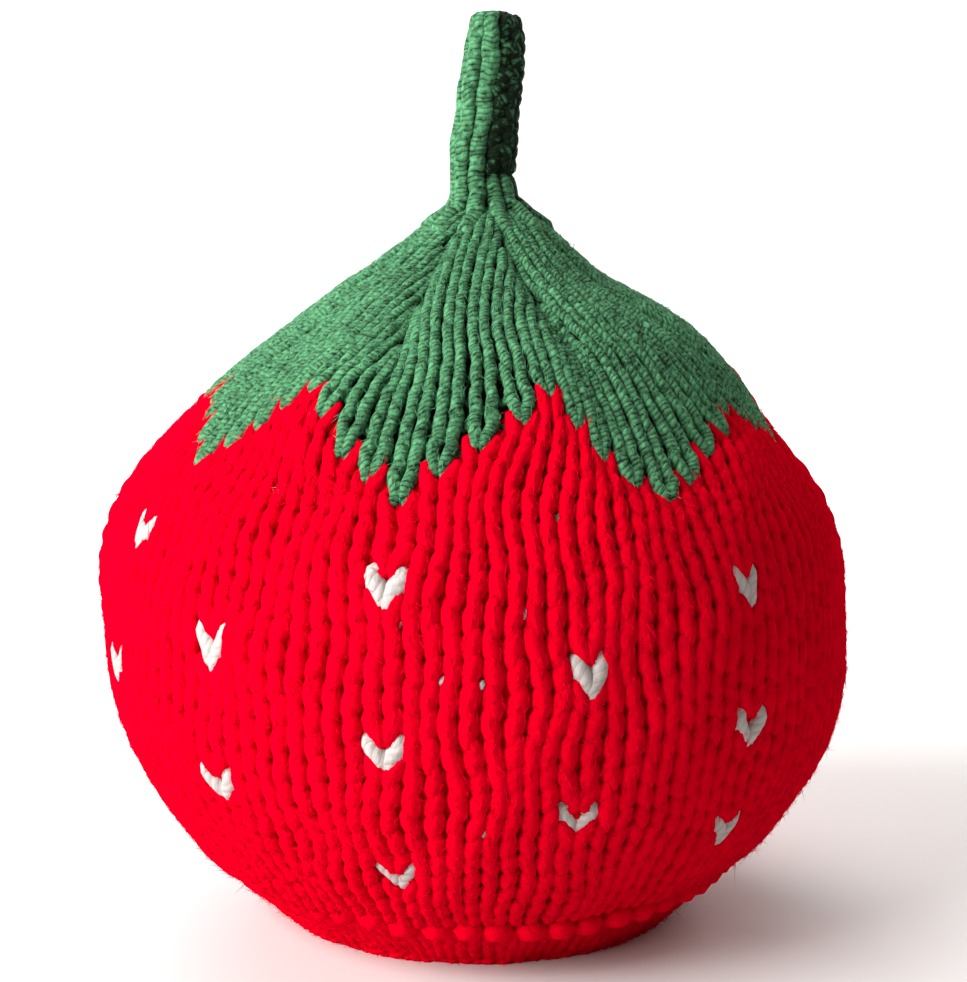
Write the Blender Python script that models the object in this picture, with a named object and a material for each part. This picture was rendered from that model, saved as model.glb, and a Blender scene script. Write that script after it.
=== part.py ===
"""Strawberry tea cosy: two knitted side panels, a leafy crown and a rolled stalk.

Sizes are in metres, +Z is up, and the cosy stands on its hem at z = 0. The
front panel faces -Y, the spout opening faces -X and the handle opening +X.
Every cloth piece is an open grid laid on one shared pot shape and extruded
inwards to its knitted thickness.
"""
import bisect
import math

import bmesh
import bpy
from mathutils import Vector

MM = 0.001

# Knitting
CLOTH = 4.5 * MM            # thickness of the chunky knitted cloth
SEWN_GAP = 0.3 * MM         # space left between neighbouring pieces
WELD = 0.001 * MM           # points nearer than this are one point
SEAM_INSET = 0.55 * SEWN_GAP  # each panel's edge stands this far back from the seam
COLOUR_GAP = 0.7 * MM       # space up the cloth at the steep stepped colour line
STITCHES_ROUND = 64         # stitches round the widest part
PANEL_STITCHES = STITCHES_ROUND // 2
WALE_DEPTH = 0.9 * MM       # how far the groove between two stitches sinks in

# Leaves of the crown: tips hang LEAF_TIP above the hem, one step shorter each stitch
LEAF_STITCHES = 8
LEAF_PHASE = 5              # stitch of the first tip, counted from the spout seam
LEAF_TIP = 129.7 * MM       # along the cloth from the hem to a leaf's tip
LEAF_STEP = 6.0 * MM        # rise of the colour line from one stitch to the next
STITCH_FOOT = 3.9 * MM      # from the foot of a stitch up to its sides
HULL_GROOVE = 1.0 * MM      # dip where each leaf's decreases run to the neck
HULL_GROOVE_WIDTH = math.radians(4.0)

# Grid density
SAMPLES_PER_STITCH = 2
HULL_ROWS = 9
PANEL_ROWS = 16

# Pot shape worn by the cloth: outer radius at each height, from hem to neck; the hem
# below the first row stands straight up
POT_SECTION = (
    # height mm, radius mm
    (2.2, 46.0),
    (6.0, 53.0),
    (16.5, 66.5),
    (33.0, 78.4),
    (53.0, 85.7),
    (73.5, 87.3),
    (92.0, 84.5),
    (107.0, 77.5),
    (122.0, 65.0),
    (137.0, 50.8),
    (147.0, 37.5),
    (152.0, 28.8),
    (156.5, 22.0),
    (161.0, 15.8),
    (165.0, 10.6),
    (168.5, 8.4),
)
HEM_RISE = POT_SECTION[0][0] * MM
SECTION_STEPS = 24          # fine steps worked out between two table rows

# The axis of the pot shape wanders: sideways offset at each height
AXIS_PULL = -4.7 * MM
AXIS_LEAN = 6.8 * MM

MIDDLE = Vector((-0.8244 * MM, 0.2720 * MM, 0.0))  # brings the whole to stand about X = Y = 0

# Soft lumps and dents, where spout, handle and lid push or slack the cloth
UNEVEN = (
    # turn deg, height mm, half width deg, half height mm, outward mm
    (-88.0, 93.0, 30.0, 15.0, 2.6),
    (84.0, 46.0, 28.0, 15.0, 2.0),
    (88.0, 113.0, 26.0, 10.0, -1.8),
    (35.0, 10.0, 30.0, 9.0, -1.5),
    (-60.0, 30.0, 26.0, 12.0, -1.0),
    (150.0, 60.0, 34.0, 22.0, 1.6),
    (-140.0, 72.0, 30.0, 20.0, -1.3),
    (12.0, 128.0, 18.0, 12.0, 0.9),
    (-78.0, 141.0, 34.0, 11.0, -3.2),
    (80.0, 151.0, 32.0, 8.0, -2.2),
)

# Openings between the panels: half width at each height
SPOUT_SLOT = (
    # height mm, half width mm
    (61.0, 0.0),
    (66.0, 4.5),
    (76.0, 8.5),
    (90.0, 10.0),
    (100.0, 7.5),
    (106.5, 0.0),
)
HANDLE_SLOT = (
    # height mm, half width mm
    (13.0, 0.0),
    (15.5, 8.0),
    (20.0, 16.0),
    (26.0, 15.0),
    (36.0, 11.5),
    (55.0, 8.5),
    (80.0, 7.0),
    (100.0, 6.0),
    (109.0, 4.0),
    (115.5, 0.0),
)
SLOT_PULL_STITCHES = 3.0    # how many stitches in from the edge the pull dies away

# Hem ridge: the purl ridge that rolls out a few rows above the cast-on edge
RIDGE_ABOVE_HEM = 21.5 * MM
RIDGE_HALF_HEIGHT = 2.6 * MM
RIDGE_HEIGHT = 1.1 * MM
HEM_WALL = 10.0 * MM        # height of the plain stretch between the edge and the ridge
HEM_ROWS = (0.0, HEM_RISE, HEM_WALL, RIDGE_ABOVE_HEM - RIDGE_HALF_HEIGHT, RIDGE_ABOVE_HEM,
            RIDGE_ABOVE_HEM + RIDGE_HALF_HEIGHT)

# Stalk: a knitted strip rolled up and stitched along its edge
STALK_SECTION = (
    # height mm, centre x mm, half width mm, half depth mm
    (0.0, 1.6, 8.2, 6.9),
    (3.0, 1.3, 8.1, 6.4),
    (12.0, 1.1, 8.0, 6.0),
    (18.0, 1.8, 7.3, 5.9),
    (25.0, 2.5, 7.5, 5.9),
    (34.0, 4.0, 7.6, 5.8),
    (39.0, 4.2, 6.4, 5.3),
    (42.0, 4.1, 4.6, 4.2),
    (43.4, 4.0, 2.4, 2.4),
)
STALK_SIDES = 20
STALK_RINGS = 18
STALK_FOLD = 1.3 * MM       # depth of the crease where the strip's edge is tucked in
STALK_FOLD_TURN = math.radians(-25.0)
STALK_FOLD_WIDTH = math.radians(24.0)

RED = (0.76, 0.004, 0.028, 1.0)
GREEN = (0.075, 0.26, 0.12, 1.0)
YARN_ROUGHNESS = 0.95


def clear_scene() -> None:
    """Remove every object left in the file."""
    for thing in list(bpy.data.objects):
        bpy.data.objects.remove(thing, do_unlink=True)


def eased(table, height: float, column: int = 1) -> float:
    """Read a table smoothly: a Hermite curve with flat-limited slopes between rows."""
    heights = [row[0] * MM for row in table]
    values = [row[column] * MM for row in table]
    if height <= heights[0]:
        return values[0]
    if height >= heights[-1]:
        return values[-1]
    i = bisect.bisect_right(heights, height) - 1

    def slope(k: int) -> float:
        if k in (0, len(heights) - 1):
            return 0.0
        before = (values[k] - values[k - 1]) / (heights[k] - heights[k - 1])
        after = (values[k + 1] - values[k]) / (heights[k + 1] - heights[k])
        if before * after <= 0.0:
            return 0.0
        return 2.0 * before * after / (before + after)

    span = heights[i + 1] - heights[i]
    t = (height - heights[i]) / span
    rise = values[i + 1] - values[i]
    m0 = slope(i) * span
    m1 = slope(i + 1) * span
    return (values[i] + m0 * t + (3.0 * rise - 2.0 * m0 - m1) * t ** 2
            + (m0 + m1 - 2.0 * rise) * t ** 3)


def section_line():
    """Outline of the pot shape as fine points: Catmull-Rom through the section table.

    Returns lists of distance along the cloth, height and radius.
    """
    rows = [Vector((z * MM, r * MM)) for z, r in POT_SECTION]
    ends = [rows[0] * 2.0 - rows[1]] + rows + [rows[-1] * 2.0 - rows[-2]]
    points = [Vector((0.0, rows[0].y)), rows[0]]
    for i in range(1, len(ends) - 2):
        a, b, c, d = ends[i - 1:i + 3]
        for k in range(1, SECTION_STEPS + 1):
            t = k / SECTION_STEPS
            points.append(0.5 * ((2.0 * b) + (c - a) * t + (2.0 * a - 5.0 * b + 4.0 * c - d) * t ** 2
                                 + (3.0 * b - 3.0 * c + d - a) * t ** 3))
    along = [0.0]
    for before, after in zip(points, points[1:]):
        along.append(along[-1] + (after - before).length)
    return along, [p.x for p in points], [p.y for p in points]


ALONG, HEIGHTS, RADII = section_line()
CLOTH_LENGTH = ALONG[-1]


def section_at(distance: float):
    """Height, radius and outward normal (out, up) at a distance along the cloth."""
    distance = min(max(distance, 0.0), CLOTH_LENGTH)
    i = min(max(bisect.bisect_right(ALONG, distance), 1), len(ALONG) - 1)
    t = (distance - ALONG[i - 1]) / (ALONG[i] - ALONG[i - 1])
    height = HEIGHTS[i - 1] + t * (HEIGHTS[i] - HEIGHTS[i - 1])
    radius = RADII[i - 1] + t * (RADII[i] - RADII[i - 1])
    run = Vector((RADII[i] - RADII[i - 1], HEIGHTS[i] - HEIGHTS[i - 1])).normalized()
    return height, radius, Vector((run.y, -run.x))


def lumps(turn: float, height: float) -> float:
    """Outward push of the uneven places, a sum of soft round bumps."""
    push = 0.0
    for centre, level, half_turn, half_height, outward in UNEVEN:
        across = (math.degrees(turn) - centre + 180.0) % 360.0 - 180.0
        up = height / MM - level
        push += outward * MM * math.exp(-(across / half_turn) ** 2 - (up / half_height) ** 2)
    return push


def ridge(distance: float) -> float:
    """Outward roll of the purl ridge above the hem."""
    return RIDGE_HEIGHT * math.exp(-((distance - RIDGE_ABOVE_HEM) / RIDGE_HALF_HEIGHT) ** 2)


def cloth_point(turn: float, distance: float, sink: float, side: float) -> Vector:
    """Point on the outer or inner side of the cloth.

    Args:
        turn: angle round the pot, 0 at the front, positive towards the handle.
        distance: how far up the cloth from the hem.
        sink: how far the outer side dips here.
        side: 0 on the outer side, 1 on the inner side.
    """
    height, radius, normal = section_at(distance)
    settled = min(max((height - HEM_RISE) / (4.0 * HEM_RISE), 0.0), 1.0)
    out = settled * lumps(turn, height) - side * CLOTH
    out += (1.0 - side) * (ridge(distance) - sink)
    radius += out * normal.x
    height += out * normal.y
    share = height / HEIGHTS[-1]
    offset = AXIS_PULL * share + AXIS_LEAN * share ** 2
    return Vector((radius * math.sin(turn) + offset, -radius * math.cos(turn), height)) - MIDDLE


def leaf_edge(stitch: float) -> float:
    """Distance from the hem to the colour line, a step higher for each stitch from a tip.

    Args:
        stitch: a stitch's middle (a half value) or its side (a whole value). The line
            climbs to the sides, which gives each stitch its pointed foot.
    """
    def rows_up(whole: int) -> int:
        gap = (whole - LEAF_PHASE) % LEAF_STITCHES
        return min(gap, LEAF_STITCHES - gap)

    if stitch == math.floor(stitch):
        left, right = rows_up(int(stitch) - 1), rows_up(int(stitch))
        return LEAF_TIP + LEAF_STEP * (left + right) / 2.0 + STITCH_FOOT
    return LEAF_TIP + LEAF_STEP * rows_up(math.floor(stitch))


def wale_sink(stitch: float, radius: float) -> float:
    """Depth of the groove between stitches, fading where the stitches crowd at the neck."""
    crowding = min(max((radius - 24 * MM) / (30 * MM), 0.0), 1.0)
    return WALE_DEPTH * crowding if stitch == math.floor(stitch) else 0.0


def seam_turn(stitch: float) -> float:
    """Angle of a stitch counted from the spout seam at -90 degrees."""
    return math.radians(-90.0 + 360.0 * stitch / STITCHES_ROUND)


def pulled_turn(stitch: float, first_stitch: int, distance: float) -> float:
    """Angle of a stitch once the slots have pulled the edges of the panels back.

    Args:
        stitch: counted round the pot from the spout seam.
        first_stitch: the first stitch of its panel; 0 starts at the spout.
        distance: how far up the cloth from the hem.
    """
    height, radius, _ = section_at(distance)
    from_start = stitch - first_stitch
    from_end = PANEL_STITCHES - from_start
    start_slot, end_slot = (SPOUT_SLOT, HANDLE_SLOT) if first_stitch == 0 else (HANDLE_SLOT, SPOUT_SLOT)
    start_pull = eased(start_slot, height) * math.exp(-from_start / SLOT_PULL_STITCHES)
    end_pull = eased(end_slot, height) * math.exp(-from_end / SLOT_PULL_STITCHES)
    return seam_turn(stitch) + (start_pull - end_pull) / radius


def material(name: str, colour) -> bpy.types.Material:
    """Matt knitting yarn of one colour."""
    made = bpy.data.materials.new(name)
    made.use_nodes = True
    shader = made.node_tree.nodes["Principled BSDF"]
    shader.inputs["Base Color"].default_value = colour
    shader.inputs["Roughness"].default_value = YARN_ROUGHNESS
    shader.inputs["Metallic"].default_value = 0.0
    made.diffuse_color = colour
    return made


def add_object(name: str, shape: bmesh.types.BMesh, collection, yarn) -> None:
    """Turn a finished shape into a smooth shaded object."""
    bmesh.ops.recalc_face_normals(shape, faces=shape.faces)
    mesh = bpy.data.meshes.new(name)
    shape.to_mesh(mesh)
    shape.free()
    mesh.materials.append(yarn)
    mesh.shade_smooth()
    collection.objects.link(bpy.data.objects.new(name, mesh))


def unit_grid(columns: int, rows: int, closed: bool) -> bmesh.types.BMesh:
    """Grid over 0 to 1 both ways, whose points remember their column and row.

    Args:
        columns: faces across.
        rows: faces up.
        closed: the caller joins the last column to the first, so it is folded onto it.
    """
    shape = bmesh.new()
    bmesh.ops.create_grid(shape, x_segments=columns, y_segments=rows, size=0.5)
    column = shape.verts.layers.int.new("column")
    row = shape.verts.layers.int.new("row")
    for vertex in shape.verts:
        vertex[column] = round((vertex.co.x + 0.5) * columns)
        vertex[row] = round((vertex.co.y + 0.5) * rows)
        if closed and vertex[column] == columns:
            vertex[column] = 0
    return shape


def knit(name: str, columns: int, rows: int, place, closed: bool, collection, yarn) -> None:
    """Lay a cloth piece on the pot shape and extrude it to its thickness.

    Args:
        name: the object's name.
        columns: faces round the pot.
        rows: faces up the cloth.
        place: function of (column, row, side) that returns the point; side 1 is inside.
        closed: the piece runs all the way round.
        collection: where the object is linked.
        yarn: its material.
    """
    shape = unit_grid(columns, rows, closed)
    column = shape.verts.layers.int["column"]
    row = shape.verts.layers.int["row"]
    for vertex in shape.verts:
        vertex.co = place(vertex[column], vertex[row], 0.0)
    if closed:
        bmesh.ops.remove_doubles(shape, verts=shape.verts, dist=WELD)
    sheet = bmesh.ops.extrude_face_region(shape, geom=shape.faces[:])["geom"]
    for vertex in (part for part in sheet if isinstance(part, bmesh.types.BMVert)):
        vertex.co = place(vertex[column], vertex[row], 1.0)
    add_object(name, shape, collection, yarn)


def build_panel(name: str, first_stitch: int, collection, yarn) -> None:
    """One side panel: hem to colour line, from one seam to the other."""
    columns = PANEL_STITCHES * SAMPLES_PER_STITCH

    def place(column: int, row: int, side: float) -> Vector:
        stitch = first_stitch + column / SAMPLES_PER_STITCH
        top = leaf_edge(stitch) - COLOUR_GAP / 2.0
        if row < len(HEM_ROWS):
            distance = HEM_ROWS[row]
        else:
            share = (row + 1 - len(HEM_ROWS)) / (PANEL_ROWS + 1 - len(HEM_ROWS))
            distance = HEM_ROWS[-1] + share * (top - HEM_ROWS[-1])
        _, radius, _ = section_at(distance)
        inset = SEAM_INSET * ((column == 0) - (column == columns))
        turn = pulled_turn(stitch, first_stitch, distance) + inset / radius
        return cloth_point(turn, distance, wale_sink(stitch, radius), side)

    knit(name, columns, PANEL_ROWS, place, False, collection, yarn)


def build_hull(collection, yarn) -> None:
    """The crown: leaves at the foot, decreasing up to the neck."""
    notch = LEAF_PHASE + 0.5 * (LEAF_STITCHES + 1)
    panel_columns = PANEL_STITCHES * SAMPLES_PER_STITCH

    def place(column: int, row: int, side: float) -> Vector:
        stitch = column / SAMPLES_PER_STITCH
        foot = leaf_edge(stitch) + COLOUR_GAP / 2.0
        share = row / HULL_ROWS
        distance = foot + share * (CLOTH_LENGTH - foot)
        _, radius, _ = section_at(distance)
        across = (stitch - notch + 0.5 * LEAF_STITCHES) % LEAF_STITCHES - 0.5 * LEAF_STITCHES
        across *= math.tau / STITCHES_ROUND
        groove = HULL_GROOVE * math.exp(-(across / HULL_GROOVE_WIDTH) ** 2) * math.sin(math.pi * share)
        turn = pulled_turn(stitch, PANEL_STITCHES * (column // panel_columns), distance)
        return cloth_point(turn, distance, wale_sink(stitch, radius) + groove, side)

    knit("hull", 2 * panel_columns, HULL_ROWS, place, True, collection, yarn)


def build_stalk(collection, yarn) -> None:
    """The rolled stalk: an oval tube with one crease, leaning towards the handle."""
    base = HEIGHTS[-1] + SEWN_GAP
    tall = STALK_SECTION[-1][0] * MM
    shape = unit_grid(STALK_SIDES, STALK_RINGS, True)
    column = shape.verts.layers.int["column"]
    row = shape.verts.layers.int["row"]
    for vertex in shape.verts:
        turn = math.tau * vertex[column] / STALK_SIDES
        share = vertex[row] / STALK_RINGS
        up = tall * share
        across = (turn - STALK_FOLD_TURN + math.pi) % math.tau - math.pi
        crease = STALK_FOLD * math.exp(-(across / STALK_FOLD_WIDTH) ** 2) * math.sin(math.pi * share)
        centre, wide, deep = (eased(STALK_SECTION, up, k) for k in (1, 2, 3))
        across_x, across_y = (wide - crease) * math.sin(turn), (crease - deep) * math.cos(turn)
        vertex.co = Vector((centre + across_x, across_y, base + up)) - MIDDLE
    bmesh.ops.remove_doubles(shape, verts=shape.verts, dist=WELD)
    bmesh.ops.holes_fill(shape, edges=[e for e in shape.edges if e.is_boundary], sides=0)
    add_object("stalk", shape, collection, yarn)


def main() -> None:
    """Build the four pieces of the tea cosy."""
    clear_scene()
    cosy = bpy.data.collections.new("tea_cosy")
    bpy.context.scene.collection.children.link(cosy)
    red = material("red_chunky_yarn", RED)
    green = material("green_chunky_yarn", GREEN)
    build_panel("front_panel", 0, cosy, red)
    build_panel("back_panel", PANEL_STITCHES, cosy, red)
    build_hull(cosy, green)
    build_stalk(cosy, green)


if __name__ == "__main__":
    main()
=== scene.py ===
"""Looks of the strawberry tea cosy: every stitch is its own loop of plied yarn.

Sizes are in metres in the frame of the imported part: +Z is up, the front panel faces
-Y, the spout opening -X and the handle opening +X. The cloth follows the same pot
shape as the solids it stands for. A place on the cloth is given by three numbers:
stitches round the pot from the spout seam, rows up from the hem, and how far out.
"""

import logging
import math
from dataclasses import dataclass, field
from enum import Enum
from functools import cache, cached_property

import bpy
import numpy as np
from mathutils import Matrix


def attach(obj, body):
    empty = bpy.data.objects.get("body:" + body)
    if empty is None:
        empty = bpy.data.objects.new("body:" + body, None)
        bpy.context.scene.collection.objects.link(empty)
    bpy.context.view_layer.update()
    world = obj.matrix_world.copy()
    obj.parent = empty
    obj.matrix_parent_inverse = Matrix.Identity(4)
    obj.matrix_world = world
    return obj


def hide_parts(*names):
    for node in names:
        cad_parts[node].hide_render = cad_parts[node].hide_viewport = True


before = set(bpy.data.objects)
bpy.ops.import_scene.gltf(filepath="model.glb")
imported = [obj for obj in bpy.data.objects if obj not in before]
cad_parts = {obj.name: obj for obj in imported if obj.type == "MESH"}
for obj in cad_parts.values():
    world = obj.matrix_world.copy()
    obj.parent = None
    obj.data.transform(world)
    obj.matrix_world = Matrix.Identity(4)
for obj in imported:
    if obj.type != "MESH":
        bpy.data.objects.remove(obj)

LOG = logging.getLogger("tea_cosy")
Array = np.ndarray
Table = tuple[tuple[float, ...], ...]
Mesh, Material, Thing = bpy.types.Mesh, bpy.types.Material, bpy.types.Object
Tree, Socket = bpy.types.NodeTree, bpy.types.NodeSocket
MM = 0.001
TINY = 1e-12                # keeps a vector of no length from being divided by nought

ROUND = 64                  # stitches round the widest part
HALF = ROUND // 2           # stitches of one panel
ROW = 5.055 * MM            # height of the first row, along the cloth
ROW_GROWTH = 0.0228 * MM    # the rows lie looser going up
FIRST_ROW = 1.0 * MM        # middle of the first row above the cast-on edge
HEM_ROW = -FIRST_ROW / ROW  # row number of the very edge
LEAF = 8                    # stitches of one leaf
LEAF_TIP_STITCH = 5         # stitch of the first leaf tip, counted from the spout seam
LEAF_TIP_ROW = 24           # first green row of a leaf tip
LINE_DROP = 0.6             # rows that the sheets' colour line lies below the stitches' row
CORNER_RISE = 0.7           # rows that its corners rise between two stitches
PINCH = 0.6                 # how far a stitch on another colour draws its feet together
CLOTH = 4.5 * MM            # thickness of the cloth
WAVES = ((5.3, 9.1), (3.1, -6.7), (11.7, 4.3), (-4.4, 13.9))    # stitches and rows of each wave
WAVE_START = 1.7            # where the first wave starts, in phases


def eased(table: Table, height: Array, column: int = 1) -> Array:
    """Read a table smoothly: a Hermite curve with flat-limited slopes between rows.

    The slope at a row is the harmonic mean of the slopes on its two sides, or
    nothing where they turn, and value = v + m0 t + (3r - 2 m0 - m1) t^2
    + (m0 + m1 - 2r) t^3 with r the rise to the next row.

    Args:
        table: rows of millimetres, the height first.
        height: heights in metres.
        column: the column to read.

    Returns:
        The values in metres.
    """
    heights, values = (np.array([row[k] for row in table]) * MM for k in (0, column))
    rates = np.diff(values) / np.diff(heights)
    product = rates[:-1] * rates[1:]
    total = np.where(product > 0.0, rates[:-1] + rates[1:], 1.0)
    slopes = np.concatenate(([0.0], np.where(product > 0.0, 2.0 * product / total, 0.0), [0.0]))
    level = np.clip(height, heights[0], heights[-1])
    i = np.clip(np.searchsorted(heights, level, side="right") - 1, 0, len(heights) - 2)
    span = heights[i + 1] - heights[i]
    t = (level - heights[i]) / span
    rise = values[i + 1] - values[i]
    m0, m1 = slopes[i] * span, slopes[i + 1] * span
    return (values[i] + m0 * t + (3.0 * rise - 2.0 * m0 - m1) * t ** 2
            + (m0 + m1 - 2.0 * rise) * t ** 3)


def distance_of(row: Array) -> Array:
    """Distance up the cloth of a row: FIRST_ROW + ROW n + ROW_GROWTH n^2."""
    return FIRST_ROW + ROW * row + ROW_GROWTH * row ** 2


def row_of(distance: float) -> float:
    """Row at a distance up the cloth, the inverse of distance_of."""
    return (math.sqrt(ROW ** 2 + 4.0 * ROW_GROWTH * (distance - FIRST_ROW)) - ROW) / (2.0 * ROW_GROWTH)


def unit(vectors: Array) -> Array:
    """Vectors scaled to length one."""
    return vectors / np.maximum(np.linalg.norm(vectors, axis=-1, keepdims=True), TINY)


@dataclass
class PotShape:
    """The rounded pot shape that the cloth is worn on, as in the solids."""

    section: Table = (
        # height mm, radius mm
        (2.2, 46.0), (6.0, 53.0), (16.5, 66.5), (33.0, 78.4), (53.0, 85.7), (73.5, 87.3),
        (92.0, 84.5), (107.0, 77.5), (122.0, 65.0), (137.0, 50.8), (147.0, 37.5),
        (152.0, 28.8), (156.5, 22.0), (161.0, 15.8), (165.0, 10.6), (168.5, 8.4),
    )
    steps: int = 24  # fine steps worked out between two table rows
    axis_pull: float = -4.7 * MM  # the axis wanders: pull * share + lean * share^2
    axis_lean: float = 6.8 * MM
    middle: tuple[float, float] = (-0.8244 * MM, 0.2720 * MM)
    uneven: Table = (
        # turn deg, height mm, half width deg, half height mm, outward mm
        (-88.0, 93.0, 30.0, 15.0, 2.6), (84.0, 46.0, 28.0, 15.0, 2.0),
        (88.0, 113.0, 26.0, 10.0, -1.8), (35.0, 10.0, 30.0, 9.0, -1.5),
        (-60.0, 30.0, 26.0, 12.0, -1.0), (150.0, 60.0, 34.0, 22.0, 1.6),
        (-140.0, 72.0, 30.0, 20.0, -1.3), (12.0, 128.0, 18.0, 12.0, 0.9),
        (-78.0, 141.0, 34.0, 11.0, -3.2), (80.0, 151.0, 32.0, 8.0, -2.2),
    )
    tugs: Table = (
        # turn deg, distance mm, half width deg, half height mm, rows tugged up mm
        (-72.0, 105.0, 30.0, 26.0, 3.0), (-42.0, 63.0, 20.0, 14.0, -1.9),
        (45.0, 108.0, 24.0, 20.0, 2.2), (45.0, 50.0, 22.0, 14.0, 1.8),
        (-5.0, 128.0, 16.0, 10.0, -0.8), (33.0, 143.0, 18.0, 16.0, -6.0),
        (60.0, 157.0, 15.0, 18.0, -8.5), (-25.0, 140.0, 9.0, 9.0, -4.0),
        (-84.0, 152.0, 11.0, 16.0, -5.5), (78.0, 132.0, 12.0, 13.0, 5.0),
        (97.0, 153.0, 12.0, 14.0, 4.5),
    )
    spout_slot: Table = (
        # height mm, half width mm
        (61.0, 0.0), (66.0, 4.5), (76.0, 8.5), (90.0, 10.0), (100.0, 7.5), (106.5, 0.0),
    )
    handle_slot: Table = (
        # height mm, half width mm
        (13.0, 0.0), (15.5, 8.0), (20.0, 16.0), (26.0, 15.0), (36.0, 11.5),
        (55.0, 8.5), (80.0, 7.0), (100.0, 6.0), (109.0, 4.0), (115.5, 0.0),
    )
    slot_pull: float = 3.0  # stitches in which the pull of a slot dies away
    settling: float = 4.0  # heights of the upright hem over which the lumps set in
    leans: Table = (
        # stitch, distance mm, half width stitches, half height mm, stitches leaned round
        (9.5, 154.0, 2.2, 15.0, -0.9), (17.5, 154.0, 2.2, 15.0, 0.85), (25.8, 150.0, 2.5, 15.0, 1.3),
    )

    @cached_property
    def outline(self) -> tuple[Array, Array, Array, Array]:
        """Distance along the cloth, height, radius and outward normals, in fine steps.

        Catmull-Rom through the section, 0.5 (2b + (c-a) t + (2a-5b+4c-d) t^2
        + (3b-3c+d-a) t^3), under it a short upright hem.

        Returns:
            The distances, heights, radii and normals, from the hem up.
        """
        rows = np.array([(z, r) for z, r in self.section]) * MM
        ends = np.vstack((2.0 * rows[0] - rows[1], rows, 2.0 * rows[-1] - rows[-2]))
        t = (np.arange(1, self.steps + 1) / self.steps)[None, :, None]
        a, b, c, d = (ends[k:len(rows) - 1 + k, None, :] for k in range(4))
        curve = 0.5 * (2.0 * b + (c - a) * t + (2.0 * a - 5.0 * b + 4.0 * c - d) * t ** 2
                       + (3.0 * b - 3.0 * c + d - a) * t ** 3)
        points = np.vstack(([[0.0, rows[0, 1]]], rows[:1], curve.reshape(-1, 2)))
        along = np.concatenate(([0.0], np.cumsum(np.linalg.norm(np.diff(points, axis=0), axis=1))))
        run = unit(np.gradient(points, axis=0))
        return along, points[:, 0], points[:, 1], np.stack((run[:, 0], -run[:, 1]), axis=1)

    @property
    def length(self) -> float:
        """Length of the cloth from hem to neck."""
        return float(self.outline[0][-1])

    def level(self, distance: Array) -> Array:
        """Height at a distance along the cloth."""
        return np.interp(distance, self.outline[0], self.outline[1])

    def radius(self, distance: Array) -> Array:
        """Radius at a distance along the cloth."""
        return np.interp(distance, self.outline[0], self.outline[2])

    @staticmethod
    def spread(places: Table, turn: Array, along: Array) -> Array:
        """What a table's places add up to.

        The sum of amount exp(-(dturn / half width)^2 - (dalong / half height)^2).

        Args:
            places: rows of centre deg, middle mm, half width deg, half height mm, amount mm.
            turn: angle round the pot.
            along: height, or distance up the cloth.

        Returns:
            The sum at each point, in metres.
        """
        total = np.zeros(np.broadcast(turn, along).shape)
        for centre, middle, half_turn, half_tall, amount in places:
            across = (np.degrees(turn) - centre + 180.0) % 360.0 - 180.0
            up = along / MM - middle
            total += amount * MM * np.exp(-(across / half_turn) ** 2 - (up / half_tall) ** 2)
        return total

    def pulled_turn(self, stitch: Array, half: Array, distance: Array) -> Array:
        """Angle of a stitch once the slots have pulled the panels' edges back.

        Args:
            stitch: stitches round the pot from the spout seam.
            half: 0 on the front panel, 1 on the back one.
            distance: distance up the cloth.

        Returns:
            The angle round the pot, 0 at the front.
        """
        height, radius = self.level(distance), self.radius(distance)
        for centre, middle, half_wide, half_tall, shift in self.leans:
            across, along = (stitch - centre) / half_wide, (distance / MM - middle) / half_tall
            stitch = stitch + shift * np.exp(-across ** 2 - along ** 2)
        spout, handle = eased(self.spout_slot, height), eased(self.handle_slot, height)
        start = np.where(half == 0, spout, handle)
        end = np.where(half == 0, handle, spout)
        begun = stitch - HALF * half
        pull = start * np.exp(-begun / self.slot_pull) - end * np.exp((begun - HALF) / self.slot_pull)
        return np.radians(-90.0 + 360.0 * stitch / ROUND) + pull / radius

    def place(self, turn: Array, distance: Array, out: Array) -> Array:
        """Points of the cloth.

        (radius sin turn + offset, -radius cos turn, height), moved out along the
        section's normal, and never below the table.

        Args:
            turn: angle round the pot.
            distance: distance up the cloth; past the neck it goes straight up.
            out: how far out from the outer face.

        Returns:
            The points, with x, y and z last.
        """
        along, heights, _, normals = self.outline
        distance = distance + self.spread(self.tugs, turn, distance)
        height, radius = self.level(distance), self.radius(distance)
        n_out, n_up = (np.interp(distance, along, normals[:, k]) for k in (0, 1))
        hem = heights[1]
        settled = np.clip((height - hem) / (self.settling * hem), 0.0, 1.0)
        push = settled * self.spread(self.uneven, turn, height) + out
        height = height + push * n_up + np.maximum(distance - along[-1], 0.0)
        radius = radius + push * n_out
        share = height / heights[-1]
        offset = self.axis_pull * share + self.axis_lean * share ** 2
        return np.stack((radius * np.sin(turn) + offset - self.middle[0],
                         -radius * np.cos(turn) - self.middle[1],
                         np.maximum(height, 0.0)), axis=-1)


def leaf_rows(stitch: Array) -> Array:
    """Rows that a stitch's colour line lies above a leaf tip, one for each stitch between."""
    gap = (stitch - LEAF_TIP_STITCH) % LEAF
    return np.minimum(gap, LEAF - gap)


def leaf_foot(stitch: Array) -> Array:
    """Row of the colour line at whole and half stitches, where it has its corners.

    At a half it is that stitch's own row, at a whole the mean of both sides plus a rise.

    Args:
        stitch: number of the stitch, in halves.

    Returns:
        The row.
    """
    before, after = leaf_rows(np.ceil(stitch) - 1), leaf_rows(np.floor(stitch))
    whole = stitch == np.floor(stitch)
    return LEAF_TIP_ROW - LINE_DROP + np.where(whole, 0.5 * (before + after) + CORNER_RISE, after)


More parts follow.
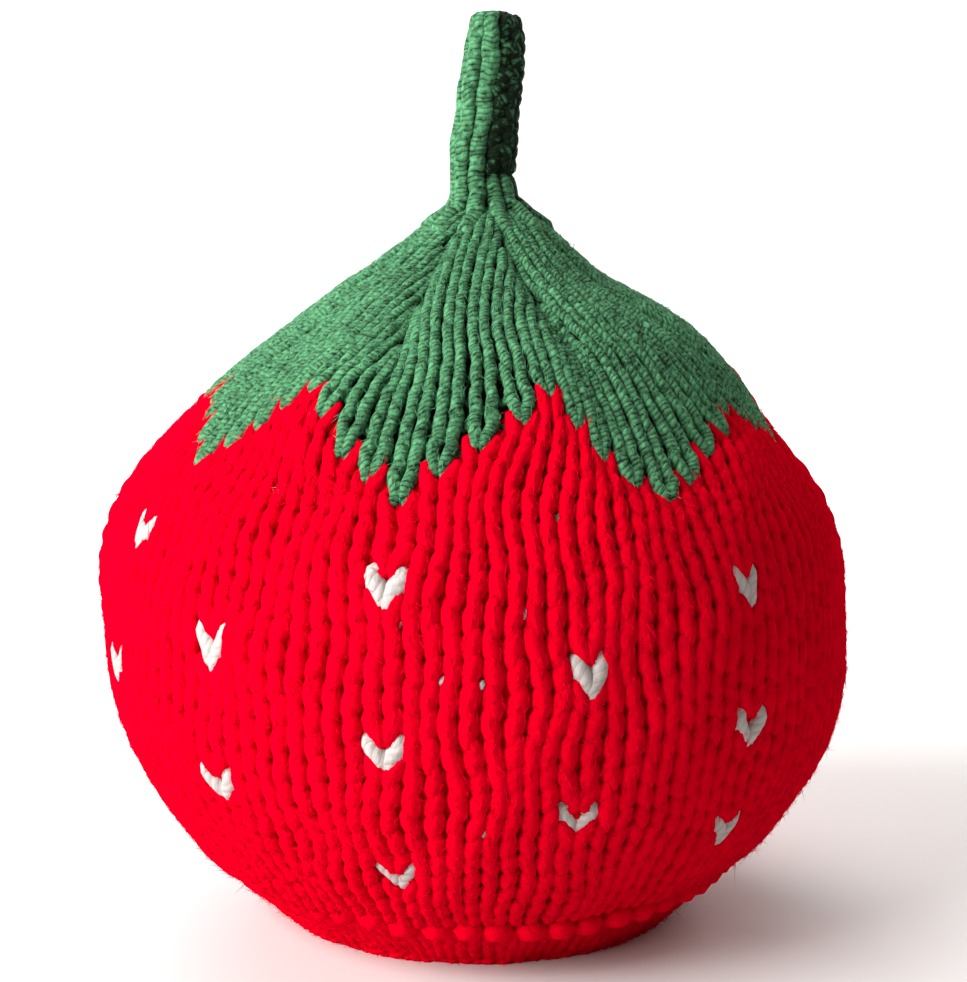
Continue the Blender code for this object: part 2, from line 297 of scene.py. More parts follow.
def runs(chosen: Array) -> list[Array]:
    """Numbers of the true places, split into unbroken runs."""
    places = np.flatnonzero(chosen)
    return [run for run in np.split(places, np.flatnonzero(np.diff(places) > 1) + 1) if len(run)]


def sway(column: Array, row: Array, phase: float) -> Array:
    """Slow wandering: half the sum of sin(2 pi (column / wide + row / tall) + phase (k + start)).

    Args:
        column: stitches round.
        row: rows up.
        phase: a number that sets one use of it apart from another.

    Returns:
        The wandering there, without a unit.
    """
    total = 0.0
    for k, (wide, tall) in enumerate(WAVES):
        total = total + np.sin(2.0 * np.pi * (column / wide + row / tall) + phase * (k + WAVE_START))
    return 0.5 * total


class Relief(Enum):
    """Which way the legs of a stitch lie, as the sign of its wave of depth."""

    KNIT = 1.0
    PURL = -1.0

    def depth(self, t: Array) -> Array:
        """Depth from 0 at the front to 1 at the back at t, from -pi to pi round the loop."""
        return 0.5 * (1.0 + self.value * np.cos(2.0 * t))


@dataclass
class Strands:
    """Gathers tubes of yarn into one mesh.

    Each ring is centre + r (sin a side - flat cos a up), so that a = 0 and the
    seam of the pattern lie on the inner side.
    """

    sides: int = 8  # points of a ring
    flat: float = 0.85  # thickness of the yarn over its width
    slide: float = 0.37 * MM  # how far the pattern moves on for each point made before
    deepest: float = 2.0  # greatest depth that is noted, in thicknesses of the cloth
    total: int = 0  # points made so far
    ends: list[int] = field(default_factory=list)  # number of each tube's last ring
    tubes: list[tuple[Array, ...]] = field(default_factory=list)

    def add(self, centre: Array, outward: Array, radius: Array | float, level: Array | float,
            tint: Array | float) -> None:
        """Add one capped tube.

        Args:
            centre: points of the yarn's middle.
            outward: direction out of the cloth at each point.
            radius: half width of the yarn, at each point or everywhere.
            level: how far it lies below the cloth's face.
            tint: its shade, about 0: random tone, plus painted shade where a hand paints its yarn
                darker.
        """
        count, sides = len(centre), self.sides
        radius, level, tint = (np.broadcast_to(a, count) for a in (radius, level, tint))
        forward = unit(np.gradient(centre, axis=0))
        up = unit(outward - forward * np.sum(outward * forward, axis=1, keepdims=True))
        side = np.cross(forward, up)
        angle = 2.0 * np.pi * np.arange(sides) / sides
        width = radius[:, None, None]
        ring = (centre[:, None, :] + width * (np.sin(angle)[None, :, None] * side[:, None, :]
                - self.flat * np.cos(angle)[None, :, None] * up[:, None, :]))
        ring[..., 2] = np.maximum(ring[..., 2], 0.0)
        # depth below the cloth's face, which the yarn's material turns into painted shade in the holes
        depth = (level[:, None] + radius[:, None] * self.flat * (1.0 + np.cos(angle))) / CLOTH
        index = np.arange(count * sides).reshape(count, sides) + self.total
        near, far = index[:-1], index[1:]
        quads = np.stack((near, far, np.roll(far, -1, 1), np.roll(near, -1, 1)), axis=-1)
        along = np.concatenate(([0.0], np.cumsum(np.linalg.norm(np.diff(centre, axis=0), axis=1))))
        along = along + self.slide * self.total
        u, v = np.broadcast_arrays(along[:, None], np.arange(sides) / sides)
        before, after = v[1:], v[1:] + 1.0 / sides
        uvs = np.stack((np.stack((u[:-1], u[1:], u[1:], u[:-1]), axis=-1),
                        np.stack((before, before, after, after), axis=-1)), axis=-1).reshape(-1, 2)
        caps = [np.stack((u[k], v[k]), axis=1) for k in (0, -1)]
        self.tubes.append((
            ring.reshape(-1, 3), np.clip(depth, 0.0, self.deepest).ravel(), np.repeat(tint, sides),
            np.concatenate((quads.ravel(), index[0], index[-1][::-1])),
            np.append(np.full(quads.size // 4, 4), (sides, sides)),
            np.concatenate((uvs, caps[0], caps[1][::-1]))))
        self.total += count * sides
        self.ends.append(self.total // sides - 1)

    def gathered(self) -> list[Array]:
        """All tubes' points, depths, tints, face corners, face sizes and pattern coordinates."""
        return [np.concatenate(parts) for parts in zip(*self.tubes)]

    def mesh(self, name: str) -> Mesh:
        """The gathered tubes as one mesh with its UV map and depth and tint attributes.

        Args:
            name: the mesh's name.

        Returns:
            The mesh.
        """
        points, depths, tints, corners, sizes, uvs = self.gathered()
        made = build_mesh(name, points, corners, sizes, uvs)
        add_layer(made, "depth", depths)
        add_layer(made, "tint", tints)
        return made


@dataclass
class Halo:
    """The fine fibres that stand off spun yarn, each a slim closed needle of four faces.

    A needle runs from its foot on the yarn along unit(+-forward + lift (1 + spread n) out
    + stray m side), with n and m drawn from the normal distribution.
    """

    seed: int
    count: int
    length: float = 2.2 * MM
    width: float = 0.09 * MM  # coarser than real fibres, which are too fine to show
    lift: float = 0.13
    stray: float = 0.35
    spreads: tuple[float, float] = (0.5, 0.35)  # of the lift, and of the length's logarithm
    face: float = 0.3  # fibres show only where the yarn is less deep than this
    tint: float = -0.1  # their shade and how it varies
    tone: float = 0.05
    slide: float = 0.1  # stretch of the pattern that their feet are spread over

    def mesh(self, name: str, strands: Strands) -> Mesh:
        """Grow the fibres of some tubes of yarn.

        Args:
            name: the mesh's name.
            strands: the yarn.

        Returns:
            The mesh, with the yarn's UV map and attributes.
        """
        rng = np.random.default_rng(self.seed)
        points, depth = strands.gathered()[:2]
        rings = points.reshape(-1, strands.sides, 3)
        usable = (depth < self.face).reshape(-1, strands.sides)
        usable[strands.ends] = False
        chosen = rng.choice(np.flatnonzero(usable), self.count)
        ring, corner = chosen // strands.sides, chosen % strands.sides
        foot = rings[ring, corner]
        out = unit(foot - rings[ring].mean(axis=1))
        forward = unit(rings[ring + 1, corner] - foot)
        side = np.cross(forward, out)
        aside, lifted = rng.normal(size=(2, self.count, 1))
        way = np.where(rng.random((self.count, 1)) < 0.5, -1.0, 1.0)
        lift = self.lift * (1.0 + self.spreads[0] * lifted)
        along = unit(way * forward + lift * out + self.stray * aside * side)
        across = unit(np.cross(along, out))
        upward = np.cross(along, across)
        tall = self.length * np.exp(self.spreads[1] * rng.normal(size=(self.count, 1)))
        angle = 2.0 * np.pi * np.arange(3) / 3
        feet = [foot + self.width * (math.cos(a) * across + math.sin(a) * upward) for a in angle]
        points = np.stack(feet + [foot + tall * along], axis=1)
        points[..., 2] = np.maximum(points[..., 2], 0.0)
        faces = np.array(((0, 1, 3), (1, 2, 3), (2, 0, 3), (2, 1, 0)))
        corners = (4 * np.arange(self.count)[:, None, None] + faces).ravel()
        start = rng.random(self.count) * self.slide
        u = start[corners // 4] + self.length * (corners % 4 == 3)
        uvs = np.stack((u, np.full_like(u, 0.5)), axis=1)
        made = build_mesh(name, points.reshape(-1, 3), corners, np.full(4 * self.count, 3), uvs)
        add_layer(made, "depth", np.repeat(depth[chosen], 4))
        add_layer(made, "tint", np.repeat(self.tint + self.tone * aside[:, 0], 4))
        return made


def add_layer(mesh: Mesh, name: str, values: Array) -> None:
    """Give a mesh one number for each point, under a name that materials read."""
    layer = mesh.attributes.new(name, "FLOAT", "POINT")
    layer.data.foreach_set("value", values.astype(np.float32))


def build_mesh(name: str, points: Array, corners: Array, sizes: Array, uvs: Array) -> Mesh:
    """Make a smooth shaded mesh from whole arrays.

    Args:
        name: the mesh's name.
        points: its points, one row each.
        corners: the point of each face corner.
        sizes: how many corners each face has.
        uvs: the pattern coordinates of each face corner.

    Returns:
        The mesh.
    """
    made = bpy.data.meshes.new(name)
    made.vertices.add(len(points))
    made.vertices.foreach_set("co", points.astype(np.float32).ravel())
    made.loops.add(len(corners))
    made.loops.foreach_set("vertex_index", corners.astype(np.int32))
    made.polygons.add(len(sizes))
    starts = np.concatenate(([0], np.cumsum(sizes)[:-1])).astype(np.int32)
    made.polygons.foreach_set("loop_start", starts)
    made.polygons.foreach_set("use_smooth", np.ones(len(sizes), dtype=bool))
    layer = made.uv_layers.new(name="UVMap")
    layer.data.foreach_set("uv", uvs.astype(np.float32).ravel())
    made.update(calc_edges=True)
    made.validate()
    return made


def grid_faces(rows: int, columns: int, closed: bool) -> tuple[Array, Array]:
    """Span the faces of a grid of points.

    Args:
        rows: rows of points.
        columns: points of a row.
        closed: the last column joins the first, whose numbers then end each row again.

    Returns:
        The points' numbers in their grid, and four of them for each face.
    """
    index = np.arange(rows * columns).reshape(rows, columns)
    if closed:
        index = np.hstack((index, index[:, :1]))
    quads = np.stack((index[:-1, :-1], index[:-1, 1:], index[1:, 1:], index[1:, :-1]), axis=-1)
    return index, quads.reshape(-1, 4)


def sheet_mesh(name: str, outer: Array, inner: Array, closed: bool) -> Mesh:
    """Join two grids of points into one thin closed sheet with a rim.

    Args:
        name: the mesh's name.
        outer: points of the outer side, rows up and columns round.
        inner: points of the inner side.
        closed: the last column joins the first.

    Returns:
        The mesh; its UV map counts rows and columns.
    """
    rows, columns = outer.shape[:2]
    index, front = grid_faces(rows, columns, closed)
    back = front[:, ::-1] + rows * columns
    rims = [(index[0], False), (index[-1], True)]
    if not closed:
        rims += [(index[:, 0], True), (index[:, -1], False)]
    strips = []
    for edge, flip in rims:
        near, far = edge[:-1], edge[1:]
        strip = np.stack((far, near, near + rows * columns, far + rows * columns), axis=-1)
        strips.append(strip[:, ::-1] if flip else strip)
    quads = np.vstack([front, back] + strips)
    points = np.vstack((outer.reshape(-1, 3), inner.reshape(-1, 3)))
    place = quads % (rows * columns)
    uvs = np.stack((place % columns, place // columns), axis=-1).reshape(-1, 2)
    made = build_mesh(name, points, quads.ravel(), np.full(len(quads), 4), uvs.astype(float) * MM)
    # depth one everywhere, so the yarn's material paints the sheet in its full painted shade
    add_layer(made, "depth", np.ones(len(points)))
    return made


def core_mesh(name: str, grid: Array) -> Mesh:
    """Close rings of points into a tube with flat ends.

    Args:
        name: the mesh's name.
        grid: its points, rows up and columns round.

    Returns:
        The mesh; its UV map counts rows and columns.
    """
    rows, columns = grid.shape[:2]
    index, quads = grid_faces(rows, columns, True)
    corners = np.concatenate((quads.ravel(), index[0, -2::-1], index[-1, :-1]))
    sizes = np.concatenate((np.full(len(quads), 4), [columns, columns]))
    uvs = np.stack((corners // columns, corners % columns), axis=-1).astype(float)
    return build_mesh(name, grid.reshape(-1, 3), corners, sizes, uvs)


class Cloth:
    """A way to lay stitches; each kind of cloth has its own map."""

    face: float = 0.4 * MM  # the yarn stands this far proud of the solids

    def lay(self, stitch: Array, across: Array, row: Array, out: Array) -> Array:
        """Points of the cloth at a stitch, a share of the way across it, a row and a way out."""
        raise NotImplementedError

    def width(self, row: Array) -> Array:
        """Width of a stitch."""
        raise NotImplementedError

    def thread(self, strands: Strands, stitch: Array, across: Array | float, row: Array | float,
               out: Array, radius: Array | float, level: Array, tint: Array | float = 0.0) -> None:
        """Lay a length of yarn on the cloth; its places are as in lay(), the rest as in add()."""
        centre, beyond = (self.lay(stitch, across, row, out + step) for step in (0.0, MM))
        strands.add(centre, unit(beyond - centre), radius, level, tint)


@dataclass
class PanelCloth(Cloth):
    """Stockinette of one side panel; its stitches share the panel's half of the pot."""

    pot: PotShape
    half: int  # 0 is the front panel, 1 the back one
    count: int = HALF  # stitches across the panel
    sway: float = 0.11  # stitches and rows that the columns wander
    flare: float = 2.6 * MM  # how far the cast-on edge stands out
    flare_height: float = 9.0 * MM
    heave: float = 0.25 * MM  # how far the columns stand in and out

    def lay(self, stitch: Array, across: Array, row: Array, out: Array) -> Array:
        """Points at stitches from the panel's own first edge.

        The column and the row sway, and out grows by flare exp(-(distance / flare height)^2)
        at the foot and by heave times the sway.

        Args:
            stitch: whole number of the stitch.
            across: share of the way across it.
            row: rows up.
            out: how far out from the face.

        Returns:
            The points, with x, y and z last.
        """
        column = HALF * self.half + (stitch + across) * HALF / self.count
        begun = (stitch + across) / self.count
        hold = np.sin(np.pi * np.clip(begun, 0.0, 1.0)) ** 0.5
        column = column + self.sway * hold * sway(column, row, 0.0)
        distance = distance_of(row + self.sway * sway(column, row, 2.0))
        turn = self.pot.pulled_turn(column, self.half, distance)
        out = out + self.flare * np.exp(-(distance / self.flare_height) ** 2)
        return self.pot.place(turn, distance, out + self.heave * sway(column, row, 4.0))

    def width(self, row: Array) -> Array:
        """Width of a stitch: the panel's half girth shared out."""
        return np.pi * self.pot.radius(distance_of(row)) / self.count


@dataclass
class CrownCloth(Cloth):
    """The crown: eight wedges whose last stitch is cut off as the girth shrinks."""

    pot: PotShape
    start: float = 4.0  # stitch where the first wedge begins
    even_rows: int = 28  # rows up to which a wedge keeps all its stitches
    crowding: float = 0.92  # how strongly the stitches lessen with the girth
    drift: float = -2.6  # stitches that the wedges' edges drift going up
    drift_from: float = 0.92  # share of the girth at which the drift begins
    right_loss: float = 0.72  # share of the decreases worked at a wedge's end
    least: float = 0.12  # share of its width that a stitch cut off keeps
    valley: float = 2.2 * MM  # depth of the valley along the decreases
    valley_width: float = 0.75  # its half width, in stitches of the first row
    valley_rows: float = 4.0  # rows over which it sets in
    sleeve: float = 5.0 * MM  # length of the neck that lies inside the stalk's foot
    sleeve_sink: float = 0.6  # how fast the cloth sinks there

    def share(self, distance: Array) -> Array:
        """Girth over the girth at the first decrease."""
        widest = self.pot.radius(distance_of(self.even_rows))
        return np.minimum(self.pot.radius(distance) / widest, 1.0)

    def kept(self, row: Array) -> Array:
        """Stitches that a wedge still has, as a smooth number."""
        return LEAF * self.share(distance_of(row)) ** self.crowding

    def lay(self, stitch: Array, across: Array, row: Array, out: Array) -> Array:
        """Points at a stitch number of LEAF * wedge + stitch in the wedge.

        The stitches left widen to fill the wedge, and the face sinks by valley worked
        sqrt(share) exp(-(way from the edge / width)^2) where two wedges meet.

        Args:
            stitch: whole number of the stitch.
            across: share of the way across it.
            row: rows up.
            out: how far out from the face.

        Returns:
            The points, with x, y and z last.
        """
        distance = distance_of(row)
        wedge, own = stitch // LEAF, stitch % LEAF
        kept = self.kept(row)
        wide = LEAF / kept
        share = self.share(distance)
        drifted = self.drift * np.maximum(self.drift_from - share, 0.0)
        begin = self.start + LEAF * wedge + drifted
        own = own - (1.0 - self.right_loss) * (LEAF - kept)
        left = begin + np.clip(own * wide, 0.0, LEAF - self.least * wide)
        right = begin + np.clip((own + 1) * wide, self.least * wide, float(LEAF))
        column = left + across * (right - left)
        from_edge = (column - begin + 0.5 * LEAF) % LEAF - 0.5 * LEAF
        worked = np.clip((row - self.even_rows) / self.valley_rows + 0.5, 0.0, 1.0)
        sunk = self.valley * worked * np.sqrt(share) * np.exp(-(from_edge / self.valley_width) ** 2)
        sunk = sunk + self.sleeve_sink * np.maximum(distance - self.pot.length + self.sleeve, 0.0)
        around = column - ROUND * np.floor(column / ROUND)
        turn = self.pot.pulled_turn(around, np.where(around >= HALF, 1, 0), distance)
        return self.pot.place(turn, distance, out - sunk)

    def width(self, row: Array) -> Array:
        """Width of a stitch."""
        return 2.0 * np.pi * self.pot.radius(distance_of(row)) / (LEAF * self.kept(row))


@dataclass
class StalkCloth(Cloth):
    """The rolled stalk, an oval tube that leans, with a crease down its front."""

    pot: PotShape
    section: Table = (
        # height above neck mm, centre x mm, half width mm, half depth mm
        (-8.0, 1.7, 15.5, 14.5), (-3.5, 1.7, 10.2, 9.6), (0.0, 1.6, 8.3, 7.0), (3.0, 1.4, 8.1, 6.4),
        (12.0, 1.7, 8.4, 6.0), (18.0, 2.4, 7.9, 5.9), (25.0, 3.1, 8.0, 5.9), (33.0, 4.0, 7.6, 5.8),
        (37.2, 4.3, 6.9, 5.5), (39.4, 4.1, 6.4, 5.1), (40.3, 4.0, 5.4, 4.5), (40.6, 4.0, 3.0, 2.8),
    )
    count: int = 5  # stitches round
    first_turn: float = math.radians(-74.0)
    row: float = 5.8 * MM
    fold: float = 1.3 * MM
    fold_turn: float = math.radians(-25.0)
    fold_width: float = math.radians(24.0)
    foot: float = -6.0 * MM  # height of row nought, below the neck
    seat: float = 0.3 * MM  # how far the stalk stands above the neck
    least: float = 0.3 * MM  # least half width of its closed top

    @property
    def tall(self) -> float:
        """Height of the stalk above the neck."""
        return self.section[-1][0] * MM

    @cached_property
    def outline(self) -> tuple[Array, Array]:
        """Distance up the stalk's side and height, in fine steps.

        Returns:
            The distances and the heights, from the foot up.
        """
        height = np.linspace(0.0, self.tall, 200)
        wide = eased(self.section, height, 2)
        steps = np.hypot(np.diff(height), np.diff(wide))
        return np.concatenate(([0.0], np.cumsum(steps))), height

    def lay(self, stitch: Array, across: Array, row: Array, out: Array) -> Array:
        """Points at a stitch round the stalk and a row up it.

        (centre + (wide - crease) sin turn, (crease - deep) cos turn, height), pushed
        out by the same amount both ways.

        Args:
            stitch: whole number of the stitch.
            across: share of the way across it.
            row: rows up.
            out: how far out from the face.

        Returns:
            The points, with x, y and z last.
        """
        turn = self.first_turn + 2.0 * np.pi * (stitch + across) / self.count
        distance = self.foot + self.row * row
        height = np.where(distance < 0.0, distance, np.interp(distance, *self.outline))
        beyond = np.maximum(distance - self.outline[0][-1], 0.0)
        centre, wide, deep = (eased(self.section, height, k) for k in (1, 2, 3))
        across_fold = (turn - self.fold_turn + np.pi) % (2.0 * np.pi) - np.pi
        share = np.clip(height / self.tall, 0.0, 1.0)
        crease = self.fold * np.exp(-(across_fold / self.fold_width) ** 2) * np.sin(np.pi * share)
        reach = out - crease - beyond
        x = centre + np.maximum(wide + reach, self.least) * np.sin(turn) - self.pot.middle[0]
        y = -np.maximum(deep + reach, self.least) * np.cos(turn) - self.pot.middle[1]
        base = self.pot.outline[1][-1] + self.seat
        return np.stack((x, y, base + height + 0.0 * turn), axis=-1)

    def width(self, row: Array) -> Array:
        """Width of a stitch."""
        height = np.interp(np.maximum(self.foot + self.row * row, 0.0), *self.outline)
        return np.pi * (eased(self.section, height, 2) + eased(self.section, height, 3)) / self.count


@dataclass
class Knitting:
    """Shape of the loops and the hand that knits them a little uneven.

    Across the stitch a loop runs (t + spread sin 2t) (1 - gather sin^2 t) / 2 pi from
    its middle, up it runs reach cos t rows, and its depth is the relief's to the power
    of plunge, for t from -pi to pi. A pinch p adds splay |p| - p cos t to the spread.
    The half width is the yarn's times 1 + belly (2 sin(t)^(2 taper) - 1).
    """

    seed: int
    spread: float = 0.85
    gather: float = 0.0  # how far the legs of a stitch draw together
    tuck: float = 0.0  # pinch of every stitch
    splay: float = 0.75  # how much a pinch adds to the spread
    reach: float = 0.88  # rows that a loop reaches up and down
    depth: float = 1.6 * MM  # from the legs to the back of the head
    plunge: float = 2.2  # how suddenly the yarn dives behind, 1 for a plain wave
    fill: float = 0.236  # yarn half width over the stitch's width
    thin: float = 1.15 * MM  # least and most half width of the yarn
    thick: float = 2.1 * MM
    belly: float = 0.1  # how much fuller the legs are, and how much slimmer the rest
    taper: float = 1.0  # how soon they slim towards their ends
    samples: int = 16  # points of one loop
    wander: tuple[float, float, float] = (0.03, 0.06, 0.15 * MM)  # stitches, rows and depth
    own_wander: tuple[float, float] = (0.4, 0.6)  # share of it that is each leg's own
    uneven: float = 0.07  # spread of the yarn's thickness
    tone: float = 0.08  # spread of the shade from stitch to stitch
    # painted shade: darkens all of this hand's yarn, standing for shade that falls on it
    painted_shade: float = 0.0  # how much darker all of it is
    slant: float = 0.0  # rows that the last foot lies below the first
    rng: np.random.Generator = field(init=False)

    def __post_init__(self) -> None:
        """Seed the hand."""
        self.rng = np.random.default_rng(self.seed)

    def run(self, strands: Strands, cloth: Cloth, row: float, stitches: Array,
            relief: Relief = Relief.KNIT, sink: float | Array = 0.0,
            pinch: float | Array = 0.0) -> None:
        """Knit one run of stitches in a row.

        Args:
            strands: where the yarn goes.
            cloth: the map that the stitches lie on.
            row: the row's number.
            stitches: the stitches' numbers.
            relief: which way the legs lie.
            sink: how much deeper the run lies, for all or for each stitch.
            pinch: how far the feet draw together and, below nought, the arms open out.
        """
        count = len(stitches)
        steps = np.arange(count * self.samples + 1)
        own = np.minimum(steps // self.samples, count - 1)
        t = -np.pi + 2.0 * np.pi * (steps - own * self.samples) / self.samples
        deeper, drawn_in = (np.broadcast_to(a, (count,))[own] for a in (sink, self.tuck + pinch))
        shifts = self.rng.normal(size=(3, count))[:, own]
        legs = self.rng.normal(size=(2, count))[:, own]
        shade = self.rng.normal(size=count)[own]
        head = 0.5 * (1.0 + np.cos(t))
        leg = np.sin(t) ** 2
        chosen = np.where(t < 0.0, legs[0], legs[1])
        drawn = 1.0 - self.gather * leg
        spread = self.spread + self.splay * np.abs(drawn_in) - drawn_in * np.cos(t)
        across = 0.5 + (t + spread * np.sin(2.0 * t)) * drawn / (2.0 * np.pi)
        across = across + self.wander[0] * (shifts[0] * head + self.own_wander[0] * chosen * leg)
        level = row + self.reach * np.cos(t) - 0.5 * self.slant * t / np.pi
        level = level + self.wander[1] * (shifts[1] + self.own_wander[1] * chosen) * leg
        radius = np.clip(self.fill * cloth.width(level), self.thin, self.thick)
        fuller = self.belly * (2.0 * leg ** self.taper - 1.0)
        radius = radius * (1.0 + self.uneven * chosen * leg + fuller)
        below = deeper + self.depth * relief.depth(t) ** self.plunge
        below = below + self.wander[2] * np.abs(shifts[2]) * leg
        out = cloth.face - below - strands.flat * radius
        # the hand's painted shade, plus each stitch's random tone
        tint = self.painted_shade + self.tone * shade * head
        cloth.thread(strands, stitches[own], across, level, out, radius, below, tint)


@dataclass(frozen=True)
class FleckEnds:
    """Short bits of yarn, carried behind the cloth, that show in its holes.

    A bit is a bean: out is -sink - dive u^2 and its half width radius (1 + blunt - u^2)^0.5,
    for u from -1 to 1 along it.
    """

    places: Table  # stitch and share of the way across it, and row
    points: int = 7
    half_length: float = 0.22  # in rows
    lean: float = 0.05  # stitches that it leans over its half length
    sink: float = 1.1 * MM
    dive: float = 0.5 * MM
    radius: float = 0.75 * MM
    blunt: float = 0.05

    def show(self, strands: Strands, cloth: PanelCloth) -> None:
        """Lay them in a panel's cloth.

        An end lies at stitch + lean t and row + half length t, sunk by sink + dive t^2, and
        is radius sqrt(1 + blunt - t^2) thick, for t from -1 to 1.

        Args:
            strands: gathers the yarn.
            cloth: the panel's cloth.
        """
        along = np.linspace(-1.0, 1.0, self.points)
        for stitch, row in self.places:
            number = np.full_like(along, math.floor(stitch))
            cloth.thread(strands, number, stitch - number + self.lean * along,
                         row + self.half_length * along, -self.sink - self.dive * along ** 2,
                         self.radius * np.sqrt(1.0 + self.blunt - along ** 2), 0.0)


def linear(colour: str) -> tuple[float, float, float, float]:
    """Turn an sRGB hex colour such as #AABBCC to linear red, green, blue and alpha."""
    parts = [int(colour[k:k + 2], 16) / 255.0 for k in (1, 3, 5)]
    return tuple(p / 12.92 if p <= 0.04045 else ((p + 0.055) / 1.055) ** 2.4 for p in parts) + (1.0,)


def add_node(tree: Tree, kind: str, settings: dict | None = None,
             inputs: dict | None = None) -> bpy.types.Node:
    """Add a node with its settings and links.

    Args:
        tree: the node tree.
        kind: the node's type.
        settings: values of its properties.
        inputs: a value or an output socket for each named or numbered input.

    Returns:
        The node.
    """
    made = tree.nodes.new(kind)
    for name, value in (settings or {}).items():
        setattr(made, name, value)
    for key, value in (inputs or {}).items():
        if isinstance(value, Socket):
            tree.links.new(value, made.inputs[key])
        else:
            made.inputs[key].default_value = value
    return made


def new_material(name: str) -> Material:
    """Start a material with an empty tree of nodes.

    Args:
        name: its name.

    Returns:
        The material.
    """
    made = bpy.data.materials.new(name)
    made.use_nodes = True
    made.node_tree.nodes.clear()
    return made


